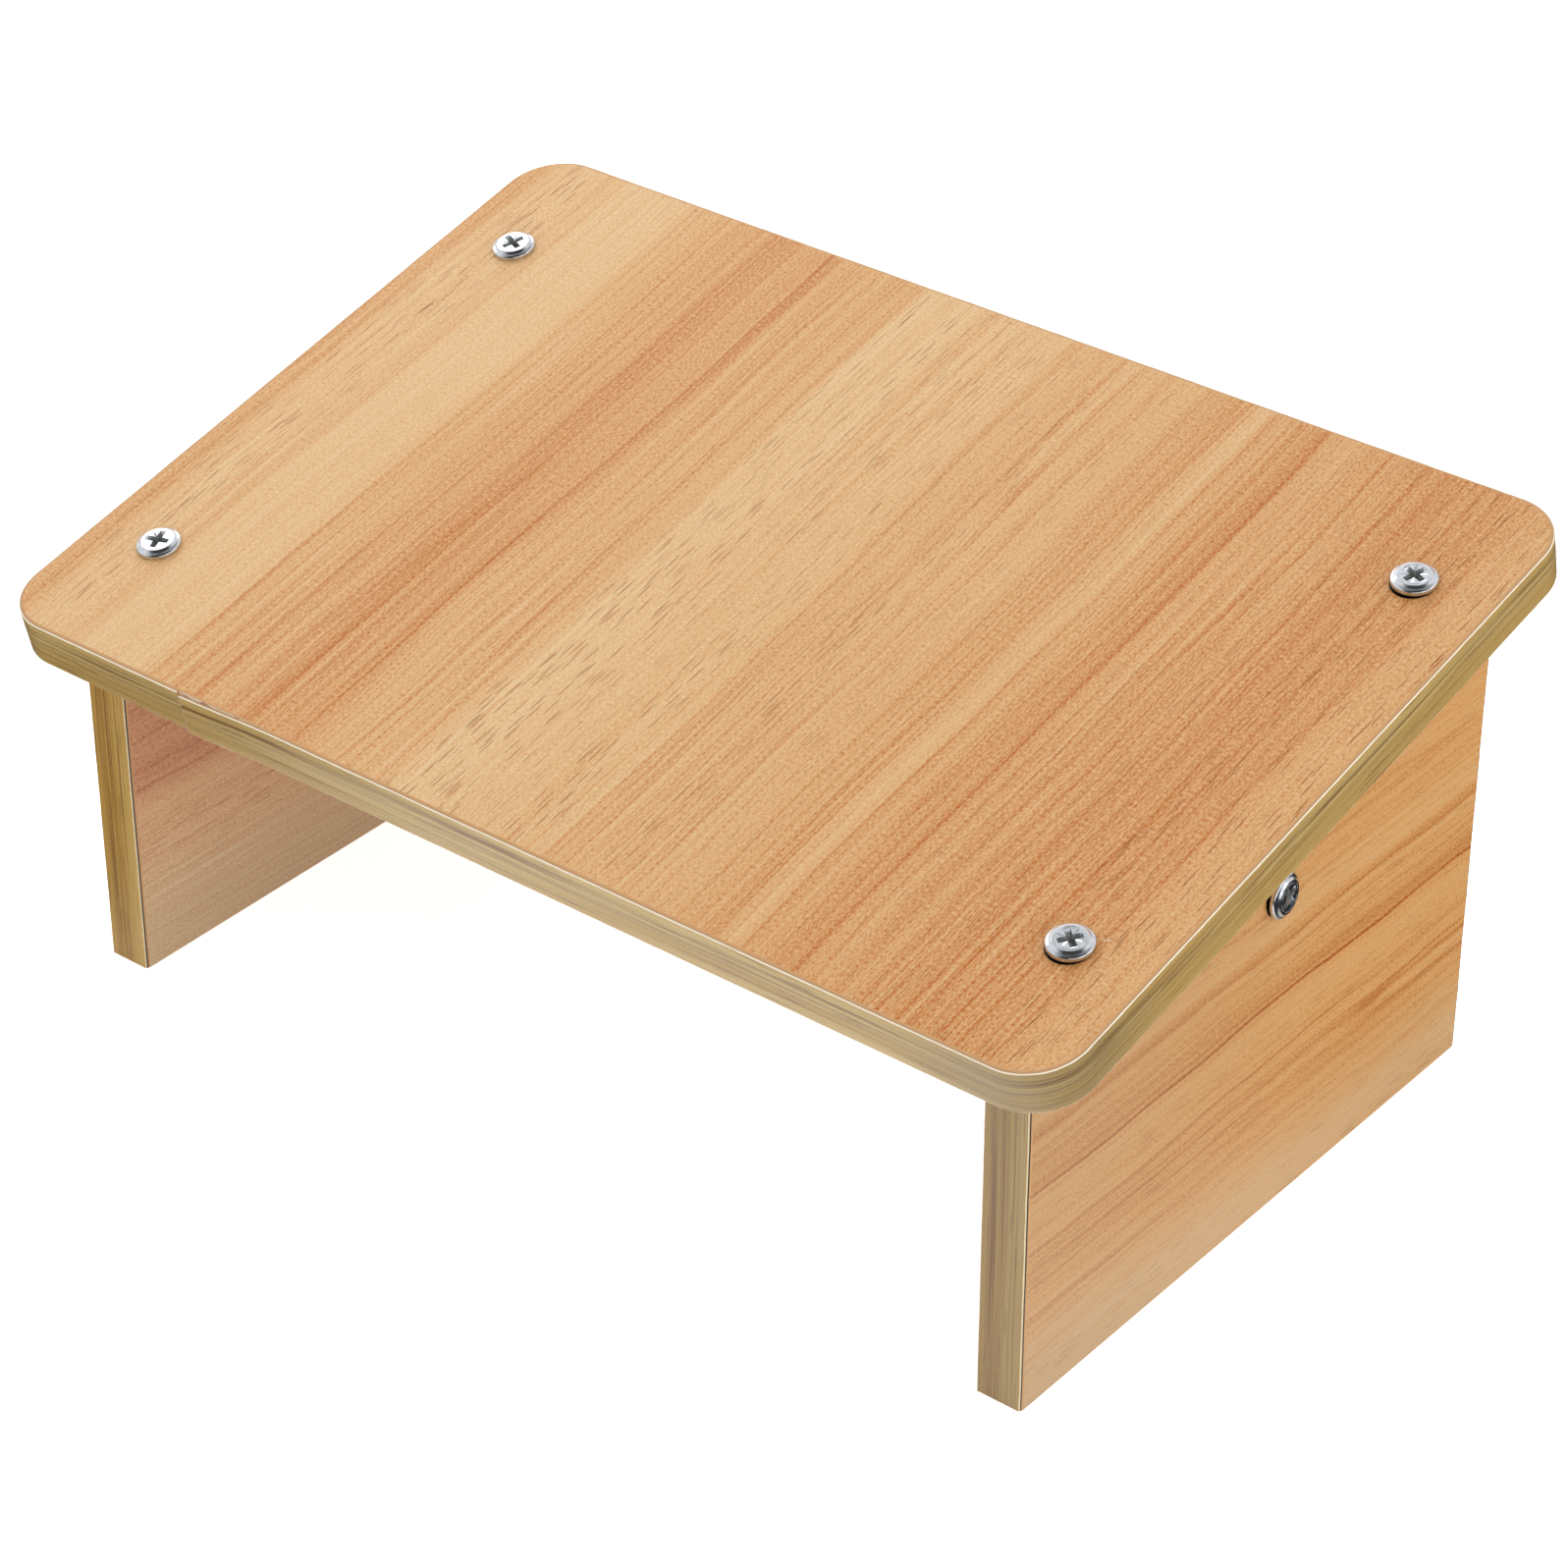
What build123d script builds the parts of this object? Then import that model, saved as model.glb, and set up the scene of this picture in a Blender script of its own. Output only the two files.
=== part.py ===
from build123d import *
import os
from math import cos, radians, sin, tan

# Sloping footrest for use under a desk: a faced top board with rounded corners, screwed down onto two
# side panels, with a stretcher under the top that ties the panels together.
# Millimetres. +X is to the right, +Y to the back, which is the high side, and +Z is up.
# The origin is on the floor, in the middle of the footrest's outline seen from above.

# Boards and their edge bands
BOARD = 15.0  # thickness of every board
BAND = 0.8  # thickness of the plastic band glued to an edge
BEVEL_DEPTH = 0.5  # the trimmed bevel of a banded edge, measured down the band
BEVEL_PAST_BAND = 0.5  # how far the bevel runs on into the board's face

# Top board
TOP_WIDTH = 380.0  # over the band, left to right
TOP_DEPTH = 252.0  # over the band, along the slope
CORNER_RADIUS = 18.0
SLOPE = 13.0  # degrees that the top rises to the back
JOINT_FROM_LEFT = 75.0  # from the left end to the joint in the band, on the front edge
JOINT_GAP = 0.3  # between the band's two ends

# Side panels
PANEL_INSET = 17.5  # from the side of the top to the outside of a panel
PANEL_SETBACK = 15.0  # from the front and the back of the top to a panel, along the slope
FRONT_HEIGHT = 112.5  # at the front of a panel, up to the top board

# Stretcher
STRETCHER_HEIGHT = 60.0  # over its band, down from the top board
STRETCHER_FORWARD = 2.0  # of the middle of the top, along the slope

# Screws
SCREW_SETBACK = 30.0  # from the front and the back of a panel, along the slope
SCREW_LENGTH = 50.0  # under the head
HEAD_DIAMETER = 13.5
HEAD_HEIGHT = 2.4
HEAD_RIM = 1.0  # height of the upright rim below the head's bevel
HEAD_FLAT = 10.2  # diameter of the flat on top
NECK_DIAMETER = 6.0
CORE_DIAMETER = 4.6
NECK_SHORT = 1.0  # how much shorter the neck is than the board that it passes through
POINT_LENGTH = 6.0
STAND_OFF = 0.7  # a screw on the right stops this far short of the board
RECESS_SPAN = 7.0  # cross recess, over two opposite wings, at the top
RECESS_WIDTH = 1.7  # of one wing, at the top
RECESS_FLOOR_SPAN = 2.8
RECESS_FLOOR_WIDTH = 0.9
RECESS_DEPTH = 2.9
TOP_RECESS_TURNS = (16.0, -22.0, 51.0, -18.0)  # left front, left back, right front, right back
STRETCHER_RECESS_TURNS = (35.0, 20.0)  # left, right

# Clearances
NECK_CLEARANCE = 0.5  # round the neck, in the board that the screw passes through
CORE_CLEARANCE = 0.1  # round the core, in the board that the screw bites into
POINT_CLEARANCE = 2.0  # beyond the point, in the same hole

# Derived sizes
bevel_width = BAND + BEVEL_PAST_BAND
rise = tan(radians(SLOPE))
panel_length = TOP_DEPTH - 2 * PANEL_SETBACK
panel_depth = panel_length * cos(radians(SLOPE))
panel_outside = TOP_WIDTH / 2 - PANEL_INSET
panel_middle = panel_outside - BOARD / 2
panel_inside = panel_outside - BOARD
panel_centre = BOARD * sin(radians(SLOPE)) / 2
panel_front = panel_centre - panel_depth / 2
panel_back = panel_centre + panel_depth / 2
back_height = FRONT_HEIGHT + panel_depth * rise
screw_row = panel_length / 2 - SCREW_SETBACK
grip_depth = SCREW_LENGTH - BOARD + POINT_CLEARANCE
neck_length = BOARD - NECK_SHORT

# The underside of the top board: local X to the right, Y up the slope, Z square to the board
underside = Plane(
    origin=(0, panel_centre, (FRONT_HEIGHT + back_height) / 2),
    x_dir=(1, 0, 0),
    z_dir=(0, -sin(radians(SLOPE)), cos(radians(SLOPE))),
)


def trim(face, edges):
    """The board that a face belongs to, with a broad, shallow bevel along the banded edges of the face."""
    return chamfer(edges, bevel_width, BEVEL_DEPTH, reference=face)


def cross(span, width):
    """A plus sign with square ends."""
    half, wing = span / 2, width / 2
    corners = [(half, -wing), (half, wing), (wing, wing)]
    quarters = [Vector(*corner).rotate(Axis.Z, 90 * turn) for turn in range(4) for corner in corners]
    return make_face(Polyline(*quarters, close=True))


def screw(turn, stand_off=0.0):
    """A furniture screw, its head's underside at z = stand_off, its point down."""
    profile = make_face(
        Polyline(
            (0, HEAD_HEIGHT),
            (HEAD_FLAT / 2, HEAD_HEIGHT),
            (HEAD_DIAMETER / 2, HEAD_RIM),
            (HEAD_DIAMETER / 2, 0),
            (NECK_DIAMETER / 2, 0),
            (NECK_DIAMETER / 2, -neck_length),
            (CORE_DIAMETER / 2, -neck_length),
            (CORE_DIAMETER / 2, POINT_LENGTH - SCREW_LENGTH),
            (0, -SCREW_LENGTH),
            close=True,
        )
    )
    body = revolve(Plane.XZ * profile, Axis.Z)
    recess = loft(
        [
            Pos(0, 0, HEAD_HEIGHT) * cross(RECESS_SPAN, RECESS_WIDTH),
            Pos(0, 0, HEAD_HEIGHT - RECESS_DEPTH) * cross(RECESS_FLOOR_SPAN, RECESS_FLOOR_WIDTH),
        ],
        ruled=True,
    )
    return Pos(0, 0, stand_off) * Rot(0, 0, turn) * (body - recess)


def top_screw_seats():
    """Where the top screws' heads sit, left before right and front before back."""
    for side in (-1, 1):
        for row in (-1, 1):
            yield side, underside * Pos(side * panel_middle, row * screw_row, BOARD)


def stretcher_screw_seats():
    """Where the stretcher screws' heads sit, on the outside of the left panel and then the right."""
    for side in (-1, 1):
        outside = underside * Pos(side * panel_outside, -STRETCHER_FORWARD, -STRETCHER_HEIGHT / 2)
        yield side, outside * Rot(0, 90 * side, 0)


def hole(diameter, length):
    """A cutter that goes down from z = 0."""
    return Pos(0, 0, -length / 2) * Cylinder(diameter / 2, length)


def clearance_hole():
    """A cutter for a screw's neck, right through a board."""
    return hole(NECK_DIAMETER + 2 * NECK_CLEARANCE, BOARD)


def pilot_hole():
    """A cutter for a screw's core, in the board behind the one under its head."""
    return Pos(0, 0, -BOARD) * hole(CORE_DIAMETER + 2 * CORE_CLEARANCE, grip_depth)


def top_pieces():
    """The top board and the band round it, cut from one bevelled blank."""
    blank = extrude(RectangleRounded(TOP_WIDTH, TOP_DEPTH, CORNER_RADIUS), BOARD)
    for order in (-1, 0):
        face = blank.faces().sort_by(Axis.Z)[order]
        blank = trim(face, face.edges())
    core_outline = RectangleRounded(TOP_WIDTH - 2 * BAND, TOP_DEPTH - 2 * BAND, CORNER_RADIUS - BAND)
    core = extrude(core_outline, BOARD)
    joint_place = Pos(JOINT_FROM_LEFT - TOP_WIDTH / 2, (BAND - TOP_DEPTH) / 2, BOARD / 2)
    joint = joint_place * Box(JOINT_GAP, 2 * BAND, 2 * BOARD)
    board = underside * (blank & core)
    for _, seat in top_screw_seats():
        board -= seat * clearance_hole()
    return {"top_board": board, "top_edge_band": underside * (blank - core - joint)}


def panel_pieces(side):
    """A side panel and the bands on its front and back edges, cut from one bevelled blank."""
    outline = make_face(
        Polyline(
            (panel_front, 0),
            (panel_back, 0),
            (panel_back, back_height),
            (panel_front, FRONT_HEIGHT),
            close=True,
        )
    )
    blank = extrude(Plane.YZ.offset(side * panel_middle) * outline, BOARD / 2, both=True)
    for order in (-1, 0):
        face = blank.faces().sort_by(Axis.X)[order]
        blank = trim(face, face.edges().filter_by(Axis.Z))
    front_line = Plane.XZ.offset(-panel_front - BAND)
    back_line = Plane.XZ.offset(-panel_back + BAND)
    front_band = split(blank, front_line, Keep.TOP)
    back_band = split(blank, back_line, Keep.BOTTOM)
    panel = split(split(blank, front_line, Keep.BOTTOM), back_line, Keep.TOP)
    for seat_side, seat in top_screw_seats():
        if seat_side == side:
            panel -= seat * pilot_hole()
    for seat_side, seat in stretcher_screw_seats():
        if seat_side == side:
            panel -= seat * clearance_hole()
    name = "left" if side < 0 else "right"
    return {
        f"{name}_side_panel": panel,
        f"{name}_front_band": front_band,
        f"{name}_back_band": back_band,
    }


def stretcher_pieces():
    """The stretcher and the band on its lower edge, cut from one bevelled blank."""
    blank = Box(2 * panel_inside, BOARD, STRETCHER_HEIGHT, align=(Align.CENTER, Align.CENTER, Align.MAX))
    for order in (-1, 0):
        face = blank.faces().sort_by(Axis.Y)[order]
        lower_edge = face.edges().sort_by(Axis.Z)[:1]
        blank = trim(face, lower_edge)
    place = underside * Pos(0, -STRETCHER_FORWARD, 0)
    band_line = Plane.XY.offset(BAND - STRETCHER_HEIGHT)
    rail = place * split(blank, band_line, Keep.TOP)
    for _, seat in stretcher_screw_seats():
        rail -= seat * pilot_hole()
    return {"stretcher": rail, "stretcher_band": place * split(blank, band_line, Keep.BOTTOM)}


def screw_groups():
    """The four screws of the top and the two of the stretcher, each group with its solids apart."""
    groups = {}
    for name, seats, turns in (
        ("top_screws", top_screw_seats(), TOP_RECESS_TURNS),
        ("stretcher_screws", stretcher_screw_seats(), STRETCHER_RECESS_TURNS),
    ):
        screws = []
        for (side, seat), turn in zip(seats, turns):
            stand_off = STAND_OFF if side > 0 else 0.0
            screws.append(seat * screw(turn, stand_off))
        groups[name] = Compound(children=screws)
    return groups


nodes = {**top_pieces(), **panel_pieces(-1), **panel_pieces(1), **stretcher_pieces(), **screw_groups()}
os.makedirs("parts", exist_ok=True)
for name, shape in nodes.items():
    export_step(shape, f"parts/{name}.step")
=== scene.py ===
from math import cos, pi, radians, sin, tan
from typing import NamedTuple

import bpy
import numpy as np
from bpy.props import FloatProperty, FloatVectorProperty, PointerProperty
from mathutils import Matrix, Vector


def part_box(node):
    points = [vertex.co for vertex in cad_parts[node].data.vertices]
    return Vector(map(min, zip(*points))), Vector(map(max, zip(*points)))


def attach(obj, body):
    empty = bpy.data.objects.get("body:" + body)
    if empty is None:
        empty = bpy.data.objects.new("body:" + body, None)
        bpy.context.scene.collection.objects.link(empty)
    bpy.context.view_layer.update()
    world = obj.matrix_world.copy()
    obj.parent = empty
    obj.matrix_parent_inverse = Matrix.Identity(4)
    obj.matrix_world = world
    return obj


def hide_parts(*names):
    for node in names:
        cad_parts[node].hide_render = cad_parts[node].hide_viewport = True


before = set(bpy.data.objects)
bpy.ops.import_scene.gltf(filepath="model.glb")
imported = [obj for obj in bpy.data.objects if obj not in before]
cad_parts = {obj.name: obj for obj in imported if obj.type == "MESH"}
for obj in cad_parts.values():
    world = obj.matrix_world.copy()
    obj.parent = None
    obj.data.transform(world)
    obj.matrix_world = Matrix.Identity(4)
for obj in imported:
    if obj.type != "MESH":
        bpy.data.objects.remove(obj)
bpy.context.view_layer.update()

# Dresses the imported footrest: wood print on its boards, edge bands with a trimmed bevel, turned screws
# with a cross recess and a thread, and a plain studio. Metres, in the frame's own axes: +X is to the
# right, +Y to the back, which is the high side, and +Z is up.

bl_info = {
    "name": "Sloping Footrest",
    "version": (1, 0, 0),
    "blender": (4, 5, 0),
    "location": "3D View > Sidebar > Footrest",
    "description": "Wood print, edge bands, screws and a studio for the packed footrest",
    "category": "Object",
}

MM = 0.001
WHITE = (1, 1, 1, 1)


class BoardPrint(NamedTuple):
    """How a board is printed. Places across the board, wave and ripple are in millimetres."""

    colours: str  # whose dark, middle and pale grain it has
    stripes: tuple  # place, and tone from 0, dark, to 1, pale
    lines: tuple  # thin dark lines: place, half width, and depth of tone
    pores: tuple  # place, and how many pores from 0 to 1
    wave: float  # how far slow noise bends the grain
    ripple: float  # and how far quick noise does
    fibres: float  # strength of the fibres and the speckle
    low_sheen: float = 0.0  # how far painted sheen greys the print low down
    front_sheen: float = 0.0  # and towards the front


TOP_PRINT = BoardPrint(
    colours="top",
    stripes=(
        (-190, 0.50), (-183, 0.46), (-177, 0.84), (-164, 0.84), (-158, 0.70), (-150, 1.00), (-133, 0.94),
        (-124, 0.62), (-112, 0.48), (-104, 0.36), (-96, 0.34), (-90, 0.18), (-78, 0.30), (-70, 0.22),
        (-64, 0.48), (-37, 0.58), (-31, 0.98), (-15, 0.92), (-8, 0.78), (16, 0.78), (24, 0.56),
        (62, 0.58), (72, 0.34), (81, 0.34), (86, 0.78), (93, 0.38), (107, 0.16), (116, 0.42),
        (131, 0.28), (150, 0.12), (170, 0.16), (180, 0.46),
    ),
    lines=(
        (-183, 1.8, 0.22), (-125, 1.4, 0.30), (-108, 1.6, 0.34), (-91, 1.1, 0.34), (-87, 0.8, 0.26),
        (-83, 0.8, 0.20), (-78, 0.6, 0.16), (-71, 1.2, 0.36), (-57, 0.8, 0.14), (22, 1.0, 0.22),
        (37, 0.7, 0.20), (46, 0.7, 0.18), (55, 0.8, 0.18), (78, 0.9, 0.20), (91, 0.9, 0.36),
        (100, 0.8, 0.22), (109, 1.5, 0.38), (131, 1.2, 0.34), (143, 0.7, 0.26), (149, 0.7, 0.22),
        (155, 0.7, 0.28), (161, 0.8, 0.26),
    ),
    pores=(
        (-190, 0.10), (-183, 0.30), (-175, 1.00), (-165, 0.90), (-157, 0.20), (-128, 0.10), (-60, 0.20),
        (-38, 0.30), (-30, 1.00), (-14, 0.90), (-5, 0.55), (12, 0.90), (24, 0.40), (38, 0.70),
        (56, 0.45), (70, 0.20), (100, 0.25), (140, 0.45), (162, 0.90), (178, 1.00), (190, 1.00),
    ),
    wave=7,
    ripple=1.6,
    fibres=1.6,
)
RIGHT_PRINT = BoardPrint(
    colours="right",
    stripes=(
        (0, 0.95), (10, 0.92), (20, 0.66), (30, 0.52), (40, 0.46), (46, 0.44), (54, 0.52), (69, 0.60),
        (72, 0.22), (80, 0.44), (88, 0.56), (91, 0.36), (97, 0.70), (105, 0.58), (113, 0.46), (124, 0.60),
        (134, 0.48), (150, 0.66),
    ),
    lines=(
        (28, 0.9, 0.18), (39, 0.8, 0.16), (44, 0.9, 0.24), (47, 0.8, 0.26), (52, 0.9, 0.22),
        (61, 0.7, 0.12), (71, 0.9, 0.55), (76, 0.7, 0.12), (90, 1.2, 0.30), (104, 0.9, 0.20),
        (118, 0.9, 0.18),
    ),
    pores=(
        (0, 0.70), (16, 0.50), (30, 0.40), (50, 0.50), (62, 0.45), (72, 0.20), (85, 0.45), (100, 0.50),
        (150, 0.40),
    ),
    wave=6,
    ripple=3,
    fibres=0.85,
    low_sheen=0.15,
    front_sheen=0.25,
)
# The left panel's stripes go darker upwards: painted shade under the top on its inner face.
LEFT_PRINT = BoardPrint(
    colours="left",
    stripes=(
        (0, 0.90), (20, 0.80), (34, 0.64), (41, 0.44), (47, 0.56), (53, 0.36), (58, 0.10), (65, 0.06),
        (70, 0.14), (82, 0.10), (95, 0.04), (110, 0.10), (150, 0.40),
    ),
    lines=((41, 0.9, 0.16), (57, 1.0, 0.22), (63, 1.2, 0.26), (74, 0.8, 0.14), (85, 0.9, 0.18)),
    pores=((0, 0.15), (18, 0.30), (28, 0.60), (44, 0.50), (56, 0.25), (80, 0.30), (150, 0.30)),
    wave=6,
    ripple=3,
    fibres=1.15,
    low_sheen=0.27,
)
STRETCHER_STRIPES = ((-60, 0.55), (-48, 0.35), (-40, 0.70), (-28, 0.60), (-18, 0.20), (-8, 0.50), (0, 0.45))
STRETCHER_PRINT = BoardPrint(
    colours="right",
    stripes=STRETCHER_STRIPES,
    lines=(),
    pores=STRETCHER_STRIPES,
    wave=6,
    ripple=2,
    fibres=0.5,
)
LEFT_PRINT_START = (0, 310 * MM, 6 * MM)  # moves the left panel's print along, so that its grain is its own

# Grain: how much each part of it changes the tone, and how far the tone goes past dark and past pale
STREAK_TONE = 0.62
RING_TONE = -0.20
SPECKLE_TONE = 1.12
PAST_DARK = -1.2
PAST_PALE = 1.8

# A board: what is an edge and what is a printed face, by how squarely it looks along the board's thickness,
# and where painted sheen greys a panel's print
EDGE_LOOKS = 0.8
FACE_LOOKS = 0.97
SHEEN_HEIGHT = 45 * MM
SHEEN_BACK = 60 * MM
SHEEN_FRONT = -110 * MM

# Marks on the top: the shift of the painted shadow rings under the loose heads, the nick's place from the
# right front screw, and the step, the slant and the radius of the spots that it is made of
SHADE_RING_SHIFT = 0.3 * MM
NICK_RIGHT = 6.8 * MM
NICK_BACK = 6.5 * MM
NICK_STEP = 0.6 * MM
NICK_SLANT = 0.6
NICK_RADIUS = 0.3 * MM

# Streaks of a band's print: place across the band and half width in millimetres, and strength
BAND_STREAKS = (
    (3.5, 0.9, 0.90), (2.6, 0.5, 0.80), (4.6, 0.4, 0.60), (1.1, 0.5, 0.70),
    (0.2, 0.5, 0.75), (-0.9, 0.4, 0.50), (-3.0, 0.5, 0.60), (-4.3, 0.4, 0.45),
)
BAND_WAVE = 1.6 * MM
BAND_RIPPLE = 0.7 * MM

# Where a band's print ends: how far its edge frays, how far inside the bevel that begins, how much sooner
# it does along the lower edge, and how far the end that starts at the joint is chipped
FRAY = 0.4 * MM
FRAY_INSIDE = 0.3 * MM
LOWER_SHIFT = 0.04 * MM
CHIP = 0.8 * MM
CHIP_INSIDE = 0.3 * MM

# How softly the print gives way to bare plastic, at a chipped end, and to glue
BARE_SOFT = 0.08 * MM
CHIP_SOFT = 0.1 * MM
GLUE_SOFT = 0.05 * MM

# Painted shade round a corner of the top's band: where it begins and where it is full, counted from the
# corner, and how much
CORNER_SHADE_END = 60 * MM
CORNER_SHADE_START = 12 * MM
CORNER_SHADE_SHARE = 0.42

# Relief of the finishes, and how far handling changes their roughness
BOARD_RELIEF = 0.05 * MM
BAND_RELIEF = 0.03 * MM
ZINC_RELIEF = 0.006 * MM
BOARD_HANDLING = 0.22
BAND_HANDLING = 0.15
ZINC_HANDLING = 0.12

# How the trimming cut wanders along a band: the wavelengths and the shares of its waves
WANDER_LENGTHS = np.array((37, 11.3, 4.7)) * MM
WANDER_SHARES = np.array((0.5, 0.3, 0.2))

# How finely the pieces are made
ARRIS_POINTS = 5
ROUND_STEP = 1.2 * MM  # along the top's band
STRAIGHT_STEP = 1.5 * MM  # along a straight band
THREAD_STEP = 0.2 * MM
SCREW_SIDES = 96
BAND_SHARP = radians(35)
SCREW_SHARP = radians(30)

# A screw's head: the half angle of the recess's wings at its mouth, how many rings are in the recess, its
# eased rim, a turned groove as shares of the flat's radius and of that easing, the roundings of the head's
# four corners from the flat to the board, and the fillet at the neck
WING_ANGLE = radians(15)
RECESS_RINGS = 5
HEAD_EASE = 0.12 * MM
GROOVE = ((0.83, 0.0), (0.84, 0.5), (0.86, 0.5), (0.87, 0.0))
HEAD_ROUNDINGS = (0.12 * MM, 0.12 * MM, 0.5 * MM, 0.2 * MM)
NECK_FILLET = 0.4 * MM
RIDGE_HALF = 0.28  # half the width of the thread's ridge, as a share of the pitch

# Screws: left or right, front or back, and how far the recess is turned, in degrees
TOP_SCREWS = ((-1, -1, 16), (-1, 1, -22), (1, -1, 51), (1, 1, -18))
STRETCHER_SCREWS = ((-1, 35), (1, 20))
LEAN_BACK = 0.8  # the direction in which the loose screws of the top lean
LEAN_RIGHT = 0.6

# Lamps: direction as the camera's, in degrees to the right and over the horizon, and width and height
LAMPS = {"key": (-122, 34, (1.7, 0.75)), "fill": (58, 8, (1.6, 0.8)), "side": (95, 20, (1.6, 0.8))}
LAMP_DISTANCE = 1.6
SENSOR_WIDTH = 36.0  # in millimetres
FLOOR_HALF = 3.0


def shade(red, green, blue):
    """A display colour, 0 to 255 each, as the linear values that a shader takes."""
    value = np.array((red, green, blue)) / 255
    linear = np.where(value > 0.04045, ((value + 0.055) / 1.055) ** 2.4, value / 12.92)
    return tuple(float(part) for part in linear)


def length(name, description, millimetres):
    """A size that a user may change, kept in metres."""
    return FloatProperty(
        name=name, description=description, default=millimetres * MM, precision=5, unit="LENGTH"
    )


def angle(name, description, degrees):
    """An angle that a user may change, kept in radians."""
    return FloatProperty(name=name, description=description, default=radians(degrees), unit="ROTATION")


def share(name, description, default):
    """A power, strength or share that a user may change."""
    return FloatProperty(name=name, description=description, default=default)


def colour(name, description, *display):
    """A colour that a user may change, given as display values."""
    return FloatVectorProperty(
        name=name, description=description, default=shade(*display), size=3, min=0, max=1, subtype="COLOR"
    )


def node_width(node, axis):
    """How long a node of the frame is along one axis, in millimetres."""
    low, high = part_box(node)
    return (high[axis] - low[axis]) / MM


class FootrestBoards(bpy.types.PropertyGroup):
    """Sizes of the boards, as they are packed, and the colours of their print and core, of the painted shadow
    under loose heads, and of the painted sheen.
    """

    slope: angle("Slope", "Rise of the top towards the back", 13)
    thickness: length("Board", "Thickness of every board", node_width("right_side_panel", 0))
    width: length("Top width", "Over the band, left to right", node_width("top_edge_band", 0))
    depth: length("Top depth", "Over the band, along the slope", 252)
    corner: length("Corner", "Radius of the top's corners, over the band", 18)
    setback: length("Setback", "From the front of the top to a panel, along the slope", 15)
    inset: length("Inset", "From the side of the top to the outside of a panel", 17.5)
    stretcher_height: length("Stretcher height", "Over its band, down from the top", 60)
    stretcher_forward: length("Stretcher forward", "Of the middle of the top, along the slope", 2)
    top_dark: colour("Top, dark grain", "Darkest stripes of the top's print", 204, 142, 86)
    top_middle: colour("Top, middle grain", "Stripes between", 219, 169, 114)
    top_pale: colour("Top, pale grain", "Palest stripes of the top's print", 224, 185, 135)
    right_dark: colour("Right panel, dark grain", "Darkest stripes of its print", 188, 118, 59)
    right_middle: colour("Right panel, middle grain", "Stripes between", 216, 160, 95)
    right_pale: colour("Right panel, pale grain", "Palest stripes of its print", 218, 176, 124)
    # painted light: the left panel's print is drawn lighter than the others', to make up for the shade on its
    # inner face
    left_dark: colour("Left panel, dark grain", "Darkest stripes of its print", 208, 153, 118)
    left_middle: colour("Left panel, middle grain", "Stripes between", 228, 184, 141)
    left_pale: colour("Left panel, pale grain", "Palest stripes of its print", 237, 208, 166)
    # painted sheen: the grey a panel's print is mixed towards low down and at the front, standing in for the
    # floor's reflection
    sheen_grey: colour("Faded print", "Greyer print low down and at the front of a panel", 158, 149, 132)
    pore: colour("Pores", "Short dark dashes along the grain", 138, 70, 4)
    core: colour("Core", "Pressed wood under the print", 226, 204, 176)
    # painted shadow: the dark ring drawn on a board under each screw head that stands off, and its radius
    shadow: colour("Under a head", "Board pressed dark under a screw that stands off", 22, 14, 9)
    shade_radius: length("Pressed ring", "Radius of the dark ring under a head", 6.6)
    trimmed: colour("Trimmed print", "Where a board's print was cut with its band", 208, 162, 114)
    glue: colour("Glue line", "Between an upright band and its panel", 40, 24, 12)


class FootrestBands(bpy.types.PropertyGroup):
    """Sizes and colours of the plastic edge bands."""

    thickness: length("Band", "Thickness of a band", 0.8)
    bevel: length("Bevel", "Trimmed bevel, measured down the band", 0.5)
    past: length("Past the band", "How far the bevel runs on into the board", 0.5)
    arris: length("Arris", "Softening between the printed face and the bevel", 0.22)
    ripple: length("Ripple", "How far the trimming cut wanders", 0.05)
    joint: length("Joint", "From the left end to the joint in the top's band", 75)
    gap: length("Gap", "Between the two ends at the joint", 0.12)
    droop: length("Droop", "How far the band hangs low at the joint", 1.4)
    droop_run: length("Droop run", "Length over which the band comes back up", 38)
    # painted light and shade: the top's, the left panel's and the right panel's band prints are one print in
    # three tones, set to even out how the lamps light them
    top_olive: colour("Top print", "Main colour of the top's band", 188, 155, 90)
    top_straw: colour("Top pale print", "Lighter parts of its print", 204, 175, 113)
    left_olive: colour("Left print", "Main colour of the left panel's bands", 187, 146, 71)
    left_straw: colour("Left pale print", "Lighter parts of their print", 200, 163, 89)
    right_olive: colour("Right print", "Main colour of the right panel's bands", 160, 129, 71)
    right_straw: colour("Right pale print", "Lighter parts of their print", 171, 144, 89)
    brown: colour("Streaks", "Dark streaks of the print", 104, 60, 18)
    # painted shade: the darker colour mixed into the top band's print round its front right corner, where
    # less light falls
    grime_and_shade: colour("Grime", "Print that hands have dulled, at the top's near corner", 118, 106, 82)
    trim_width: length("Trim width", "Bare plastic on the bevel", 0.36)
    trim: colour("Trim", "Bare plastic where the print was trimmed off", 250, 238, 214)
    smear: colour("Glue smear", "Glue between the top's band and its board", 190, 146, 102)
    leg_trim_width: length("Leg trim width", "Bare plastic on the bevel of an upright band", 0.40)
    leg_trim: colour("Leg trim", "Bare plastic of an upright band", 232, 212, 168)


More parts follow.
